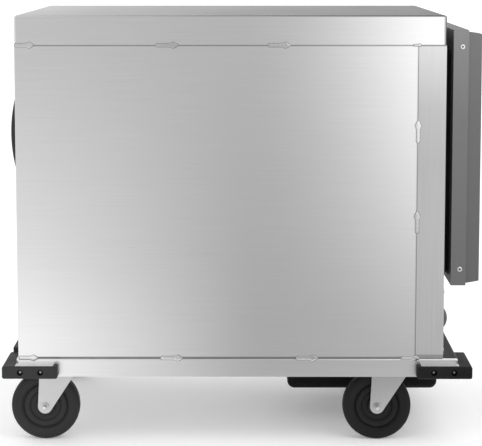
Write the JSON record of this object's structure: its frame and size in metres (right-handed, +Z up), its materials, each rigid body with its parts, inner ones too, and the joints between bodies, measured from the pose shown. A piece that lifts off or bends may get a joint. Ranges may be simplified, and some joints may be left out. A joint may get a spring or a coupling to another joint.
{
  "type": "holding and proofing cabinet",
  "caption": "Low insulated stainless holding and proofing cabinet on swivel casters, with a hinged front door, pan ledges, heat and humidity module, drip pan and corner bumpers.",
  "frame": {"origin": "on the floor, under the middle of the whole object's box", "axes": "+Z up, the door faces -Y, the pictured side faces -X"},
  "size_m": [0.668, 0.8866, 0.787],
  "materials": {
    "satin_steel": "brushed stainless sheet",
    "liner_steel": "stainless sheet, mill finish",
    "door_steel": "brushed stainless sheet",
    "fibre_wool": "loose glass fibre",
    "black_seal": "matte seal",
    "black_bumper": "moulded, satin",
    "black_plastic": "moulded, fine grain",
    "drip_black": "moulded, satin",
    "element_sheath": "oxidised sheath",
    "motor_paint": "satin paint",
    "blower_zinc": "pressed sheet",
    "bright_fastener": "bright plated",
    "caster_zinc": "bright zinc plate",
    "grey_tread": "moulded tread on a plastic core",
    "pilot_lens": "clear moulded lens",
    "dial_glass": "clear"
  },
  "bodies": {
    "cabinet": {"base_pan": "satin_steel", "side_panel_left": "satin_steel", "side_panel_right": "satin_steel", "rear_panel": "satin_steel", "top_cap": "satin_steel", "front_frame": "satin_steel", "control_panel": "satin_steel", "hinge_frame_leaves": "satin_steel", "module_box": "satin_steel", "thermometer_case": "satin_steel", "liner": "liner_steel", "floor_grille": "liner_steel", "water_pan": "liner_steel", "pan_rack_left": "liner_steel", "pan_rack_right": "liner_steel", "drip_pan_runners": "liner_steel", "insulation_batts": "fibre_wool", "bumper_front_left": "black_bumper", "bumper_front_right": "black_bumper", "bumper_rear_left": "black_bumper", "bumper_rear_right": "black_bumper", "front_strip": "black_bumper", "rear_strip": "black_bumper", "switch_body": "black_plastic", "power_inlet": "black_plastic", "push_handle": "black_plastic", "thermostats": "black_plastic", "humidity_element": "element_sheath", "air_heater": "element_sheath", "blower_motor": "motor_paint", "bumper_bolts": "bright_fastener", "caster_bolts": "bright_fastener", "panel_screws": "bright_fastener", "hinge_pins": "bright_fastener", "caster_plates": "caster_zinc", "pilot_lights": "pilot_lens", "thermometer_lens": "dial_glass"},
    "door": {"door_inner_pan": "door_steel", "door_insulation": "fibre_wool", "door_skin": "door_steel", "door_pull": "door_steel", "door_gasket": "black_seal", "door_rivets": "door_steel", "hinge_door_leaves": "door_steel"},
    "heat_knob": {"heat_knob": "black_plastic"},
    "humidity_knob": {"humidity_knob": "black_plastic"},
    "power_rocker": {"power_rocker": "black_plastic"},
    "drip_pan": {"drip_pan": "drip_black"},
    "blower_wheel": {"blower_wheel": "blower_zinc"},
    "swivel_front_left": {"caster_fork_front_left": "caster_zinc"},
    "wheel_front_left": {"caster_wheel_front_left": "grey_tread"},
    "swivel_front_right": {"caster_fork_front_right": "caster_zinc"},
    "wheel_front_right": {"caster_wheel_front_right": "grey_tread"},
    "swivel_rear_left": {"caster_fork_rear_left": "caster_zinc"},
    "wheel_rear_left": {"caster_wheel_rear_left": "grey_tread"},
    "swivel_rear_right": {"caster_fork_rear_right": "caster_zinc"},
    "wheel_rear_right": {"caster_wheel_rear_right": "grey_tread"}
  },
  "joints": [
    {"name": "door_hinge", "type": "hinge", "parent": "cabinet", "child": "door", "pos_m": [0.316, -0.385, 0.5], "axis": [0, 0, 1], "range_deg": [0, 180]},
    {"name": "heat_knob_turn", "type": "hinge", "parent": "cabinet", "child": "heat_knob", "pos_m": [-0.19, -0.38065, 0.215], "axis": [0, -1, 0], "range_deg": [-270, 0]},
    {"name": "humidity_knob_turn", "type": "hinge", "parent": "cabinet", "child": "humidity_knob", "pos_m": [-0.085, -0.38065, 0.215], "axis": [0, -1, 0], "range_deg": [-270, 0]},
    {"name": "rocker_tilt", "type": "hinge", "parent": "cabinet", "child": "power_rocker", "pos_m": [0.005, -0.38065, 0.215], "axis": [1, 0, 0], "range_deg": [-20, 0]},
    {"name": "drip_pan_slide", "type": "slide", "parent": "cabinet", "child": "drip_pan", "axis": [0, -1, 0], "range_m": [0, 0.25]},
    {"name": "blower_spin", "type": "hinge", "parent": "cabinet", "child": "blower_wheel", "pos_m": [0, 0.18735, 0.24], "axis": [0, 0, 1], "continuous": true},
    {"name": "swivel_front_left_turn", "type": "hinge", "parent": "cabinet", "child": "swivel_front_left", "pos_m": [-0.254, -0.29665, 0.146], "axis": [0, 0, 1], "continuous": true},
    {"name": "wheel_front_left_spin", "type": "hinge", "parent": "swivel_front_left", "child": "wheel_front_left", "pos_m": [-0.254, -0.26165, 0.0635], "axis": [1, 0, 0], "continuous": true},
    {"name": "swivel_front_right_turn", "type": "hinge", "parent": "cabinet", "child": "swivel_front_right", "pos_m": [0.254, -0.29665, 0.146], "axis": [0, 0, 1], "continuous": true},
    {"name": "wheel_front_right_spin", "type": "hinge", "parent": "swivel_front_right", "child": "wheel_front_right", "pos_m": [0.254, -0.26165, 0.0635], "axis": [1, 0, 0], "continuous": true},
    {"name": "swivel_rear_left_turn", "type": "hinge", "parent": "cabinet", "child": "swivel_rear_left", "pos_m": [-0.254, 0.31835, 0.146], "axis": [0, 0, 1], "continuous": true},
    {"name": "wheel_rear_left_spin", "type": "hinge", "parent": "swivel_rear_left", "child": "wheel_rear_left", "pos_m": [-0.254, 0.35335, 0.0635], "axis": [1, 0, 0], "continuous": true},
    {"name": "swivel_rear_right_turn", "type": "hinge", "parent": "cabinet", "child": "swivel_rear_right", "pos_m": [0.254, 0.31835, 0.146], "axis": [0, 0, 1], "continuous": true},
    {"name": "wheel_rear_right_spin", "type": "hinge", "parent": "swivel_rear_right", "child": "wheel_rear_right", "pos_m": [0.254, 0.35335, 0.0635], "axis": [1, 0, 0], "continuous": true}
  ]
}
